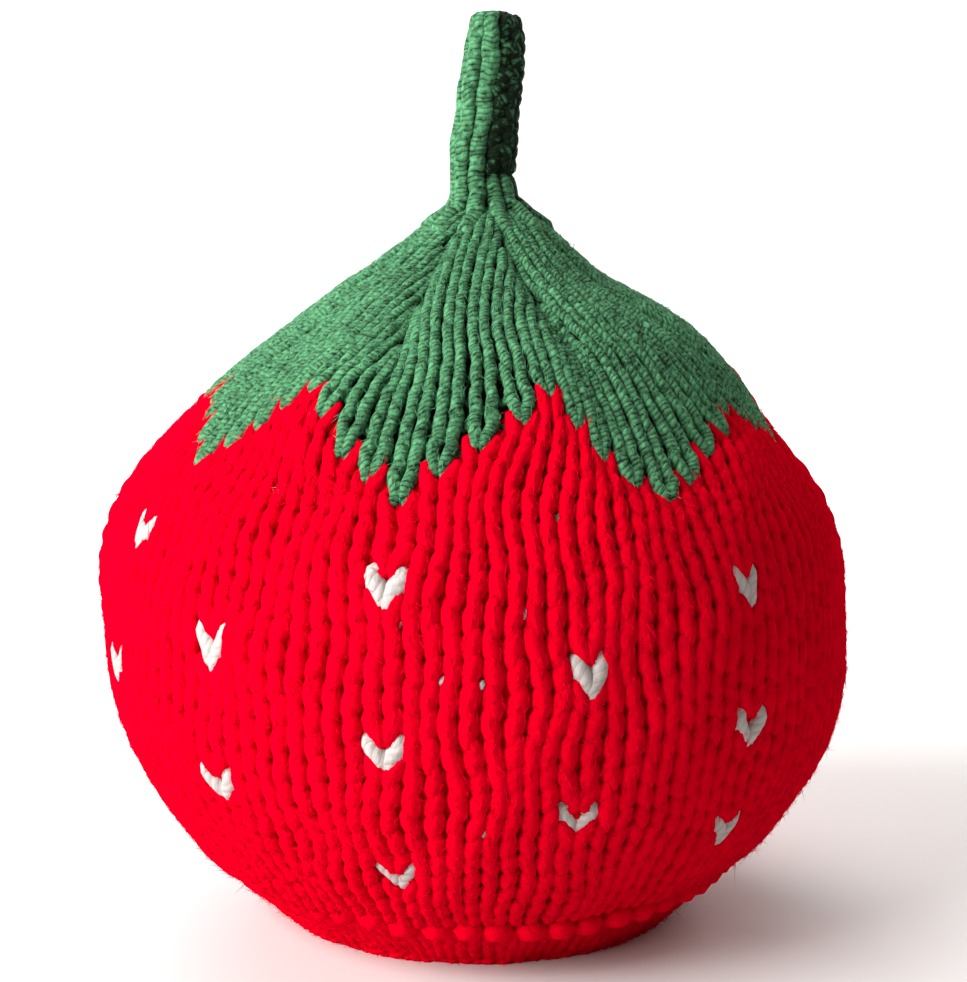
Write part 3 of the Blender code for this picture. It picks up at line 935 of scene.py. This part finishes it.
@dataclass(frozen=True)
class YarnFinish:
    """Soft spun acrylic yarn, twisted from plies: matt, with a brushed surface."""

    name: str
    slot: str
    lit: str  # outer fibres
    # deep: painted shade, the colour of the holes, of yarn deep in the cloth and of the lines between
    # plies; random tone also mixes towards it
    deep: str  # between the plies and deep in the cloth
    plies: int = 4
    lay: float = 9.0 * MM  # length of one full turn of the twist
    wobble: float = 0.0  # how unevenly the twist runs, in plies
    # ply_shade: painted shade in the grooves between the plies
    ply_shade: float = 0.3  # how dark the lines between the plies are
    ply_relief: float = 0.45  # share of the relief that is the plies
    ply_line: float = 0.7  # how far these lines reach up the plies
    mottle: float = 0.0  # how much its brushed surface breaks the colour up
    relief: float = 0.5 * MM
    # width of the streaks: a real fibre is too fine to show, so they are drawn coarser
    fibre: float = 0.16 * MM
    streak: float = 0.08  # their width over their length
    wobble_size: float = 5.0 * MM  # sizes of the uneven twist, the brushed tufts and the patches
    tuft_size: float = 1.4 * MM
    patch_size: float = 30.0 * MM
    variation: float = 0.35  # how dark the streaks and the patches are
    tuft_relief: float = 0.8  # how high the tufts are beside the plies
    # shallow, hollow and hole_shade set the painted shade of the holes
    shallow: float = 0.25  # depth where the shade of the holes sets in
    hollow: float = 0.95  # depth where it is full
    hole_shade: float = 0.9  # how dark it is there
    shade_mean: float = 0.3  # what streaks and patches add on average, taken off again
    mottle_mean: float = 0.36  # the same for the mottling
    sheen: float = 0.3
    sheen_spread: float = 0.4
    gloss: float = 0.15
    roughness: float = 0.9

    def material(self) -> Material:
        """Build the yarn's material on the pattern coordinates u along and v round the yarn.

        The plies are |sin pi (plies v + plies u / lay + wobble noise)|, the streaks are noise
        drawn out along them and the tufts fine noise. The shade adds these, slow patches and
        the stitches' own depth and tint. The depth and the lines between the plies give painted
        shade in the holes and grooves, and the tint gives random tone and painted shade. The
        relief adds plies, streaks and tufts.

        Returns:
            The material.
        """
        made = new_material(self.name)
        tree = made.node_tree
        where = add_node(tree, "ShaderNodeUVMap", {"uv_map": "UVMap"}).outputs[0]
        parts = add_node(tree, "ShaderNodeSeparateXYZ", None, {0: where}).outputs
        place = add_node(tree, "ShaderNodeTexCoord").outputs["Object"]
        drift, tufts, patches = (
            add_node(tree, "ShaderNodeTexNoise", None,
                     {"Vector": place, "Scale": 1.0 / size, "Detail": detail}).outputs["Fac"]
            for size, detail in ((self.wobble_size, 1.0), (self.tuft_size, 3.0),
                                 (self.patch_size, 1.0)))
        twist = add_node(tree, "ShaderNodeMath", {"operation": "MULTIPLY"},
                         {0: parts[0], 1: self.plies / self.lay}).outputs[0]
        wound = add_node(tree, "ShaderNodeMath", {"operation": "MULTIPLY_ADD"},
                         {0: drift, 1: self.wobble, 2: twist}).outputs[0]
        phase = add_node(tree, "ShaderNodeMath", {"operation": "MULTIPLY_ADD"},
                         {0: parts[1], 1: float(self.plies), 2: wound}).outputs[0]
        angle = add_node(tree, "ShaderNodeMath", {"operation": "MULTIPLY"},
                         {0: phase, 1: math.pi}).outputs[0]
        wave = add_node(tree, "ShaderNodeMath", {"operation": "SINE"}, {0: angle}).outputs[0]
        ply = add_node(tree, "ShaderNodeMath", {"operation": "ABSOLUTE"}, {0: wave}).outputs[0]
        across = add_node(tree, "ShaderNodeMath", {"operation": "MULTIPLY"},
                          {0: phase, 1: self.lay / self.plies / self.fibre}).outputs[0]
        along = add_node(tree, "ShaderNodeMath", {"operation": "MULTIPLY"},
                         {0: parts[0], 1: self.streak / self.fibre}).outputs[0]
        drawn = add_node(tree, "ShaderNodeCombineXYZ", None, {0: across, 1: along}).outputs[0]
        streaks = add_node(tree, "ShaderNodeTexNoise", None,
                           {"Vector": drawn, "Scale": 1.0, "Detail": 2.0}).outputs["Fac"]
        depth, tint = (add_node(tree, "ShaderNodeAttribute", {"attribute_name": name}).outputs["Fac"]
                       for name in ("depth", "tint"))
        # painted shade: the deeper the yarn lies in the cloth, the nearer its colour comes to the deep
        # one
        shade = add_node(tree, "ShaderNodeMapRange", {"interpolation_type": "SMOOTHSTEP"},
                         {"Value": depth, "From Min": self.shallow, "From Max": self.hollow,
                          "To Max": self.hole_shade}).outputs[0]
        lines = add_node(tree, "ShaderNodeMapRange", None,
                         {"Value": ply, "From Max": self.ply_line, "To Min": self.ply_shade,
                          "To Max": 0.0}).outputs[0]
        for extra, amount in ((lines, 1.0), (streaks, self.variation), (patches, self.variation),
                              (tint, 1.0), (tufts, self.mottle)):
            shade = add_node(tree, "ShaderNodeMath", {"operation": "MULTIPLY_ADD"},
                             {0: extra, 1: amount, 2: shade}).outputs[0]
        mean = self.shade_mean + self.mottle_mean * self.mottle
        shade = add_node(tree, "ShaderNodeMath", {"operation": "SUBTRACT", "use_clamp": True},
                         {0: shade, 1: mean}).outputs[0]
        colour = add_node(tree, "ShaderNodeMix", {"data_type": "RGBA"},
                          {0: shade, 6: linear(self.lit), 7: linear(self.deep)}).outputs[2]
        height = add_node(tree, "ShaderNodeMath", {"operation": "MULTIPLY"},
                          {0: streaks, 1: 1.0 - self.ply_relief}).outputs[0]
        for extra, amount in ((ply, self.ply_relief), (tufts, self.tuft_relief)):
            height = add_node(tree, "ShaderNodeMath", {"operation": "MULTIPLY_ADD"},
                              {0: extra, 1: amount, 2: height}).outputs[0]
        bump = add_node(tree, "ShaderNodeBump", None,
                        {"Strength": 1.0, "Distance": self.relief, "Height": height})
        shader = add_node(tree, "ShaderNodeBsdfPrincipled", None,
                          {"Base Color": colour, "Roughness": self.roughness,
                           "Specular IOR Level": self.gloss, "Sheen Weight": self.sheen,
                           "Sheen Roughness": self.sheen_spread, "Sheen Tint": linear(self.lit),
                           "Normal": bump.outputs[0]})
        add_node(tree, "ShaderNodeOutputMaterial", None, {0: shader.outputs[0]})
        return made


# Each finish's second colour is painted shade, used for its holes, its deep yarn and its ply lines
# What both kinds of loose fibre ends share: no plies, and too fine for relief or sheen to show
BARE = {"ply_shade": 0.0, "ply_relief": 0.0, "relief": 0.0, "sheen": 0.0, "gloss": 0.0}
# Red chunky acrylic: brushed soft in the spinning, so its plies hardly show
RED_YARN = YarnFinish("red_chunky_acrylic_yarn", "red_yarn", "#D8001E", "#AE0010",
                      ply_shade=0.06, ply_relief=0.2, relief=0.3 * MM, sheen=0.4, gloss=0.0)
RED_FIBRES = YarnFinish("red_acrylic_fibre_ends", "red_yarn", "#E8002A", "#900010", **BARE)
# Green acrylic: two plies, twisted short and uneven, brushed until its colour breaks up
GREEN_YARN = YarnFinish("green_plied_acrylic_yarn", "green_yarn", "#5A9C6D", "#0A180A",
                        plies=2, lay=2.5 * MM, wobble=2.6, ply_shade=0.4, ply_relief=0.55,
                        mottle=2.0, relief=0.75 * MM, sheen=0.15)
GREEN_FIBRES = YarnFinish("green_acrylic_fibre_ends", "green_yarn", "#5C9A72", "#16281A", **BARE)
# Off-white acrylic of the seeds, firmer than the red; its deep colour is painted shade, warmed by a
# painted reflection of the red cloth around its hollows
WHITE_YARN = YarnFinish("white_acrylic_yarn", "white_yarn", "#B9B2AE", "#7D5A58",
                        ply_shade=0.25, ply_relief=0.5, relief=0.45 * MM, sheen=0.2)


@dataclass(frozen=True)
class PlainFinish:
    """A plain painted studio surface: matt and even."""

    name: str
    colour: str
    roughness: float = 0.9

    def material(self) -> Material:
        """Build the material.

        Returns:
            The material.
        """
        made = new_material(self.name)
        shader = add_node(made.node_tree, "ShaderNodeBsdfPrincipled", None,
                          {"Base Color": linear(self.colour), "Roughness": self.roughness})
        add_node(made.node_tree, "ShaderNodeOutputMaterial", None, {0: shader.outputs[0]})
        return made


@cache
def material_of(finish: YarnFinish | PlainFinish) -> Material:
    """A finish's material, made when first asked for."""
    return finish.material()


def add_piece(mesh: Mesh, finish: YarnFinish, node: str) -> Thing:
    """Put a finished mesh into the scene as a piece of the cosy.

    Args:
        mesh: the mesh; the piece takes its name.
        finish: its yarn.
        node: the node that it stands for.

    Returns:
        The piece.
    """
    piece = bpy.data.objects.new(mesh.name, mesh)
    bpy.context.scene.collection.objects.link(piece)
    mesh.materials.append(material_of(finish))
    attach(piece, "root")
    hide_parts(node)
    LOG.info("%s: %d faces", piece.name, len(mesh.polygons))
    return piece


@dataclass(frozen=True)
class Twist:
    """Two strands wound round each other along an edge of the cloth."""

    radius: float  # half width of a strand
    offset: float  # how far its middle lies from the line they wind round
    lay: float  # stitches or rows of one full turn
    sink: float  # how deep the line lies

    def winds(self, along: Array) -> list[tuple[Array, Array]]:
        """Each strand's way aside, offset sin w, and out, offset cos w - sink, w = 2 pi along / lay."""
        turns = (2.0 * np.pi * along / self.lay + start for start in (0.0, np.pi))
        return [(self.offset * np.sin(w), self.offset * np.cos(w) - self.sink) for w in turns]


@dataclass
class Panel:
    """One side panel: hem, red stockinette, seed stitches and its edges."""

    pot: PotShape
    name: str
    half: int
    seed: int
    ridge_row: int = 4  # the purl ridge
    ridge_count: int = 28  # it has fewer and larger stitches
    ridge_sink: float = 0.8 * MM  # how much deeper the stitches behind it lie
    bump_points: int = 9
    bump_radius: float = 3.3 * MM  # half height of a bump of the ridge
    bump_reach: float = 0.36  # its half length, in stitches of the ridge
    bump_dive: float = 2.0 * MM  # how far its ends dive in
    bump_bow: float = 0.2  # rows that its middle lies above its ends
    bump_blunt: float = 0.03  # what keeps its ends from closing to a point
    proud: float = 0.6 * MM  # how far the ridge stands out all along
    roll: float = 3.2 * MM  # how much further it rolls out where it rolls most
    roll_stitch: float = 16.5  # that place and its half width, in stitches of the ridge
    roll_width: float = 6.5
    cast_on: Twist = Twist(radius=1.3 * MM, offset=0.8 * MM, lay=1.5, sink=1.0 * MM)
    cast_on_points: int = 12  # points to a stitch of the ridge
    cast_on_inset: float = 0.1  # stitches of the ridge that it stops short of the edges
    edge: Twist = Twist(radius=1.25 * MM, offset=0.9 * MM, lay=2.0, sink=1.6 * MM)
    edge_inset: float = 0.16  # stitches that its line lies in from the panel's side
    edge_rows: tuple[float, float] = (0.2, LEAF_TIP_ROW + 2.6)
    edge_points: int = 320
    split_row: int = 13  # rows below this are in the lower piece
    flat: float = 0.75  # thickness of its yarn over the width, pressed by the pot
    tucked: float = 0.4 * MM  # how much deeper the last red stitches lie
    fibres: int = 12000  # fibres of each of its halos
    seeds: Table = ()
    flecks: Table = ()
    ground_depth: float = 1.75 * MM
    ground_thickness: float = 1.0 * MM
    ground_rows: int = 60
    slack_stitch: float = 7.4 * MM  # width of a stitch off the pot
    cloth_rows: float = 26.5  # rows from hem to colour line, leaves and gaps evened out

    @property
    def node(self) -> str:
        """Name of the solid that the panel's pieces stand for."""
        return f"{self.name}_panel"

    @cached_property
    def cloth(self) -> PanelCloth:
        """The panel's cloth."""
        return PanelCloth(self.pot, self.half)

    def red_runs(self, row: int) -> list[Array]:
        """Runs of red stitches in a row, those below the colour line but for the seeds.

        Args:
            row: number of the row.

        Returns:
            The numbers of the stitches of each run.
        """
        red = row < LEAF_TIP_ROW + leaf_rows(np.arange(HALF) + HALF * self.half)
        for seed_stitch, seed_row, _ in self.seeds:
            if round(seed_row) == row:
                red[seed_stitch] = False
        return runs(red)

    def under_green(self, row: int, stitches: Array) -> Array:
        """Which stitches of a run have the crown's green just above them."""
        return LEAF_TIP_ROW + leaf_rows(stitches + HALF * self.half) == row + 1

    def pinches(self, row: int, stitches: Array) -> Array:
        """How far the stitches of a run are drawn to a point by those of another colour.

        Args:
            row: number of the row.
            stitches: numbers of the run's stitches.

        Returns:
            The pinch of each stitch: below nought its arms open out, above it its feet close.
        """
        pinch = np.where(self.under_green(row, stitches), -PINCH, 0.0)
        for seed_stitch, seed_row, _ in self.seeds:
            beside = (stitches == seed_stitch) & (abs(round(seed_row) - row) == 1)
            pinch[beside] = PINCH * (row - round(seed_row))
        return pinch

    def knit(self) -> list[Thing]:
        """Knit the red rows in a lower and an upper piece, each with its halo.

        Returns:
            The pieces.
        """
        made = []
        spans = (("lower", 0, self.split_row),
                 ("upper", self.split_row, LEAF_TIP_ROW + LEAF // 2))
        for label, begin, end in spans:
            loose = Knitting(self.seed + begin, belly=0.28, taper=4.0, tuck=0.05)
            tight = Knitting(self.seed + 2, fill=0.33, thick=3.0 * MM, belly=0.05)
            strands = Strands(flat=self.flat)
            for row in range(begin, end):
                hand = tight if row <= self.ridge_row else loose
                for run in self.red_runs(row):
                    sink = np.where(self.under_green(row, run), self.tucked, 0.0)
                    sink = sink + (self.ridge_sink if row == self.ridge_row else 0.0)
                    hand.run(strands, self.cloth, row, run, sink=sink, pinch=self.pinches(row, run))
            mesh = strands.mesh(f"{self.name}_knit_{label}")
            made.append(add_piece(mesh, RED_YARN, self.node))
            halo = Halo(self.seed + begin, self.fibres).mesh(f"{self.name}_halo_{label}", strands)
            made.append(add_piece(halo, RED_FIBRES, self.node))
        return made

    def hem(self) -> Thing:
        """Knit the purl ridge and twist the cast-on edge that the cosy stands on.

        A bump is a bean of yarn across its stitch: out is roll - dive u^4, up it is bowed by
        bow (0.5 - u^2) rows and its half height is radius (1 + blunt - u^2)^0.4, for u from
        -1 to 1. The edge winds round a line just above the table.

        Returns:
            The piece.
        """
        cloth = PanelCloth(self.pot, self.half, self.ridge_count)
        strands = Strands()
        along = np.linspace(-1.0, 1.0, self.bump_points)
        across = 0.5 + self.bump_reach * along
        row = self.ridge_row + self.bump_bow * (0.5 - along ** 2)
        radius = self.bump_radius * (1.0 + self.bump_blunt - along ** 2) ** 0.4
        for number in range(self.ridge_count):
            beside = (number - self.roll_stitch) / self.roll_width
            roll = self.proud + self.roll * math.exp(-beside ** 2)
            out = roll - self.bump_radius - self.bump_dive * along ** 4
            cloth.thread(strands, np.full_like(along, number), across, row, out, radius,
                         -out - self.bump_radius)
        stitch = np.linspace(self.cast_on_inset, self.ridge_count - self.cast_on_inset,
                             self.cast_on_points * self.ridge_count)
        thin = self.cast_on.radius
        for aside, out in self.cast_on.winds(stitch):
            row = HEM_ROW + (thin + self.cast_on.offset + aside) / ROW
            cloth.thread(strands, stitch, 0.0, row, out, thin, -out - thin)
        return add_piece(strands.mesh(f"{self.name}_hem"), RED_YARN, self.node)

    def seed_stitches(self) -> Thing:
        """Knit the white seed stitches into the places left for them.

        Returns:
            The piece.
        """
        hand = Knitting(self.seed + 5, spread=1.6, reach=0.8, thick=2.0 * MM, samples=24,
                        slant=0.25, wander=(0.05, 0.12, 0.1 * MM))
        strands = Strands(sides=10)
        for stitch, row, sink in self.seeds:
            hand.run(strands, self.cloth, row, np.array([stitch]), sink=sink * MM)
        FleckEnds(self.flecks).show(strands, self.cloth)
        return add_piece(strands.mesh(f"{self.name}_seeds"), WHITE_YARN, self.node)

    def edges(self) -> Thing:
        """Twist the edge stitches that run up both sides of the panel.

        Returns:
            The piece.
        """
        strands = Strands(flat=1.0)
        rows = np.linspace(*self.edge_rows, self.edge_points)
        thick = self.edge.radius
        for side in (self.edge_inset, HALF - self.edge_inset):
            for aside, out in self.edge.winds(rows):
                self.cloth.thread(strands, np.full_like(rows, side), aside / self.cloth.width(rows),
                                  rows, out, thick, -out - thick)
        return add_piece(strands.mesh(f"{self.name}_edges"), RED_YARN, self.node)

    def shade_backing(self, pieces: list[Thing]) -> Thing:
        """Lay a thin sheet behind the yarn pieces, standing for the back of the knitted cloth and
        painted in the yarn's full painted hole shade.

        Args:
            pieces: the pieces that lie on it.

        Returns:
            The sheet.
        """
        stitch = np.linspace(0.0, HALF, 2 * HALF + 1)
        share = np.linspace(0.0, 1.0, self.ground_rows)[:, None]
        rows = HEM_ROW + share * (leaf_foot(HALF * self.half + stitch) - HEM_ROW)
        outer, inner = (self.cloth.lay(stitch, 0.0, rows, -self.ground_depth - step)
                        for step in (0.0, self.ground_thickness))
        sheet = add_piece(sheet_mesh(f"{self.name}_ground", outer, inner, False), RED_YARN, self.node)
        return sheet

    def build(self) -> None:
        """Make all the panel's pieces."""
        self.shade_backing(self.knit() + [self.hem(), self.edges(), self.seed_stitches()])


@dataclass
class Crown:
    """The green crown: leaves at its foot, drawn in to the neck."""

    pot: PotShape
    seed: int
    flecks: Table = ()
    fibres: int = 14000
    node: str = "hull"
    spare: float = 0.35  # stitches at a wedge's ends are knitted until so little is left
    ground_depth: float = 2.8 * MM
    ground_thickness: float = 1.0 * MM
    ground_rows: int = 40

    @cached_property
    def cloth(self) -> CrownCloth:
        """The crown's cloth."""
        return CrownCloth(self.pot)

    def leaf_run(self, strands: Strands, hand: Knitting, row: int) -> None:
        """Knit the green stitches of one row of the leaves.

        Args:
            strands: gathers the yarn.
            hand: how the stitches are knitted.
            row: number of the row.
        """
        line = LEAF_TIP_ROW + leaf_rows((np.arange(ROUND) + int(self.cloth.start)) % ROUND)
        pinch = np.where(row == line, PINCH, 0.0)
        for run in runs(row >= line):
            hand.run(strands, self.cloth, row, run, pinch=pinch[run])

    def wedge_run(self, strands: Strands, hand: Knitting, row: int) -> None:
        """Knit one round of the wedges, with the stitches that they still have.

        Args:
            strands: gathers the yarn.
            hand: how the stitches are knitted.
            row: number of the row.
        """
        cloth = self.cloth
        lost = LEAF - float(cloth.kept(np.array(row)))
        begin = math.floor((1.0 - cloth.right_loss) * lost + self.spare)
        end = max(begin + 1, math.ceil(LEAF - cloth.right_loss * lost - self.spare))
        stitches = LEAF * np.arange(ROUND // LEAF)[:, None] + np.arange(begin, end)
        hand.run(strands, cloth, row, stitches.ravel())

    def build(self) -> None:
        """Make the crown's pieces."""
        strands = Strands()
        hand = Knitting(self.seed, thin=1.1 * MM, depth=2.0 * MM, gather=0.1, fill=0.22)
        last = int(row_of(self.pot.length))
        for row in range(LEAF_TIP_ROW, last + 1):
            knit = self.leaf_run if row <= self.cloth.even_rows else self.wedge_run
            knit(strands, hand, row)
        FleckEnds(self.flecks).show(strands, PanelCloth(self.pot, 0))  # placed as on the front
        yarn = add_piece(strands.mesh("crown_knit"), GREEN_YARN, self.node)
        halo = Halo(self.seed, self.fibres, length=1.7 * MM, stray=0.5).mesh("crown_halo", strands)
        fuzz = add_piece(halo, GREEN_FIBRES, self.node)
        # A thin sheet behind the yarn, standing for the back of the cloth and painted in the green's
        # full painted hole shade
        stitch = np.arange(0.0, ROUND, 0.5)
        share = np.linspace(0.0, 1.0, self.ground_rows)[:, None]
        distance = distance_of(leaf_foot(stitch))
        distance = distance + share * (self.pot.length - distance)
        half = np.where(stitch >= HALF, 1, 0)
        turn = self.pot.pulled_turn(stitch, half, distance)
        outer, inner = (self.pot.place(turn, distance, -self.ground_depth - step)
                        for step in (0.0, self.ground_thickness))
        sheet = add_piece(sheet_mesh("crown_ground", outer, inner, True), GREEN_YARN, self.node)


@dataclass
class Stalk:
    """The rolled stalk: a strip of knitting rolled up and sewn along its edge."""

    pot: PotShape
    seed: int
    node: str = "stalk"
    purl_from: int = 1  # stitches that show their back
    purl_count: int = 2
    purl_sink: float = 1.5 * MM  # how much deeper they lie
    foot_rows: int = 2  # rows at the foot that are plain all round
    foot_sink: float = 1.2 * MM  # how much deeper each lies than the last, below the backs
    bare_top: float = 2.0 * MM  # the last row starts below this
    core_sink: float = 3.0 * MM  # how deep the core's face lies
    core_rings: int = 30
    core_sides: int = 24

    def build(self) -> None:
        """Make the stalk's pieces."""
        cloth = StalkCloth(self.pot)
        strands = Strands(sides=10)
        # The backs on the stalk's rolled right half and its last foot stitch get painted shade, for the
        # side turned away from the light
        hand, back, shaded = (
            Knitting(self.seed + k, fill=0.225, samples=24, thick=thick, depth=depth, painted_shade=painted_shade)
            for k, (thick, depth, painted_shade) in enumerate((
                (2.0 * MM, 2.2 * MM, 0.0), (1.9 * MM, 1.3 * MM, 0.55), (2.0 * MM, 2.2 * MM, 0.4))))
        top = cloth.outline[0][-1]
        first, last = self.purl_from, self.purl_from + self.purl_count - 1
        stitches = np.arange(cloth.count)
        for row in range(int((top - self.bare_top - cloth.foot) / cloth.row) + 1):
            hand.run(strands, cloth, row, stitches[:first])
            if row < self.foot_rows:
                sink = row * self.foot_sink
                hand.run(strands, cloth, row, stitches[first:last], sink=sink)
                shaded.run(strands, cloth, row, stitches[last:last + 1], sink=sink)
            else:
                back.run(strands, cloth, row, stitches[first:last + 1], Relief.PURL, self.purl_sink)
            hand.run(strands, cloth, row, stitches[last + 1:])
        add_piece(strands.mesh("stalk_knit"), GREEN_YARN, self.node)
        rows = np.linspace(-cloth.foot / cloth.row, (top - cloth.foot) / cloth.row, self.core_rings)
        stitch = cloth.count * np.arange(self.core_sides) / self.core_sides
        grid = cloth.lay(stitch[None, :], 0.0, rows[:, None], -self.core_sink)
        add_piece(core_mesh("stalk_core", grid), GREEN_YARN, self.node)


@dataclass
class Studio:
    """Camera, soft light from the upper left and a plain pale floor."""

    target: tuple[float, float, float] = (0.8244 * MM, -0.2720 * MM, 88.1 * MM)
    distance: float = 550.0 * MM
    azimuth: float = math.radians(-1.36)
    elevation: float = math.radians(11.4)
    roll: float = math.radians(0.24)
    lens: float = 86.03
    sensor: float = 36.0
    shift: tuple[float, float] = (0.00525, 0.0484)
    lamps: tuple = (
        # name, place, where it points, size, watts
        ("key", (-1.26, -0.62, 0.74), (0.0, 0.0, 0.09), 1.25, 65.0),
        ("rim", (0.9, 0.9, 0.7), (0.1, 0.0, 0.0), 0.9, 9.0),
        ("far", (-0.5, 1.3, 0.7), (0.0, 0.0, 0.09), 0.8, 14.0),
        ("backdrop", (0.0, 0.7, 1.5), (0.0, 2.2, 0.3), 1.2, 40.0),
    )
    room: str = "#FFF1E4"
    room_strength: float = 0.175
    floor_reach: float = 3.0  # how far the floor goes each way, and how high the backdrop
    sweep_from: float = 1.6  # where the floor sweeps up to the backdrop
    sweep: float = 0.6  # radius of that sweep
    paper: PlainFinish = PlainFinish("pale_paper", "#D5D4D3")

    def stand(self, data: bpy.types.ID, *axes: Array) -> Thing:
        """Put a camera or lamp into the scene.

        Args:
            data: the camera or lamp.
            axes: its right, its up, the way its back faces, and its place.

        Returns:
            The object.
        """
        holder = bpy.data.objects.new(data.name, data)
        holder.matrix_world = Matrix(np.stack(axes, axis=1).tolist()).to_4x4()
        bpy.context.scene.collection.objects.link(holder)
        return holder

    def camera(self) -> None:
        """Set the camera at the viewing angle."""
        a, e, roll = self.azimuth, self.elevation, self.roll
        right = np.array((math.cos(a), math.sin(a), 0.0))
        ahead = np.array((-math.sin(a), math.cos(a), 0.0))
        forward = ahead * math.cos(e) - np.array((0.0, 0.0, math.sin(e)))
        up = np.cross(right, forward)
        x_axis = math.cos(roll) * right + math.sin(roll) * up
        y_axis = math.cos(roll) * up - math.sin(roll) * right
        lens = bpy.data.cameras.new("camera")
        lens.sensor_fit = "HORIZONTAL"
        lens.sensor_width = self.sensor
        lens.lens = self.lens
        lens.shift_x, lens.shift_y = self.shift
        place = np.array(self.target) - self.distance * forward
        bpy.context.scene.camera = self.stand(lens, x_axis, y_axis, -forward, place)

    def lights(self) -> None:
        """Hang a broad key light at the upper left and let the room fill the rest."""
        for name, place, aim, size, power in self.lamps:
            lamp = bpy.data.lights.new(name, "AREA")
            lamp.size = size
            lamp.energy = power
            back = unit(np.array(place) - np.array(aim))
            side = unit(np.cross((0.0, 0.0, 1.0), back))
            self.stand(lamp, side, np.cross(back, side), back, np.array(place))
        world = bpy.data.worlds.new("room")
        world.use_nodes = True
        sky = world.node_tree.nodes["Background"]
        sky.inputs[0].default_value = linear(self.room)
        sky.inputs[1].default_value = self.room_strength
        bpy.context.scene.world = world

    def floor(self) -> None:
        """Lay the floor, swept up behind as a backdrop."""
        far = self.floor_reach
        bend = np.radians(np.linspace(0.0, 90.0, 13))
        swept = self.sweep_from + self.sweep * np.sin(bend)
        depth = np.concatenate(([-far], swept, swept[-1:]))
        height = np.concatenate(([0.0], self.sweep * (1.0 - np.cos(bend)), [far]))
        parts = np.broadcast_arrays(np.array((-far, 0.0, far)), depth[:, None], height[:, None])
        grid = np.stack(parts, axis=-1)
        rows, columns = grid.shape[:2]
        corners = grid_faces(rows, columns, False)[1].ravel()
        uvs = np.stack((corners % columns, corners // columns), axis=-1).astype(float)
        mesh = build_mesh("floor", grid.reshape(-1, 3), corners, np.full(corners.size // 4, 4), uvs)
        mesh.materials.append(material_of(self.paper))
        floor = bpy.data.objects.new("floor", mesh)
        bpy.context.scene.collection.objects.link(floor)

    def build(self) -> None:
        """Set up the whole studio."""
        self.camera()
        self.lights()
        self.floor()
        bpy.context.scene.view_settings.view_transform = "Standard"


FRONT_SEEDS = (
    # stitch of the panel, row, how deep it sits mm
    (13, 19.7, 0.0), (13, 14, 0.0), (13, 8, 0.8), (23, 19, 0.0), (23, 13.8, 0.0), (23, 9, 0.5),
    (4, 20, 0.2), (3, 14.8, 0.2), (18, 16.8, 0.0), (18, 10.7, 0.8), (8, 17, 0.0), (8, 11.9, 0.0),
)
FRONT_FLECKS = (
    # stitch and share of the way across it, row
    (9.1, 13.9), (17.0, 19.1), (16.0, 16.5), (15.0, 16.5), (16.0, 10.7),
)
GREEN_FLECKS = ((18.05, 22.4), (9.7, 23.1))
BACK_SEEDS = (
    # stitch of the panel, row, how deep it sits mm
    (3, 20, 0.0), (3, 14, 0.3), (3, 8, 0.0), (13, 20, 0.0), (13, 14, 0.0), (13, 8, 0.6),
    (23, 20, 0.3), (23, 14, 0.0), (23, 9, 0.0), (8, 17, 0.0), (8, 11, 0.0), (18, 17, 0.2),
    (18, 11, 0.0), (28, 17, 0.0),
)


def main() -> None:
    """Build the cosy's looks and the studio."""
    logging.basicConfig(level=logging.INFO, format="%(name)s %(message)s")
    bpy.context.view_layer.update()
    pot = PotShape()
    Panel(pot, "front", 0, seed=11, seeds=FRONT_SEEDS, flecks=FRONT_FLECKS).build()
    Panel(pot, "back", 1, seed=31, seeds=BACK_SEEDS).build()
    Crown(pot, seed=51, flecks=GREEN_FLECKS).build()
    Stalk(pot, seed=71).build()
    Studio().build()


if __name__ == "__main__":
    main()
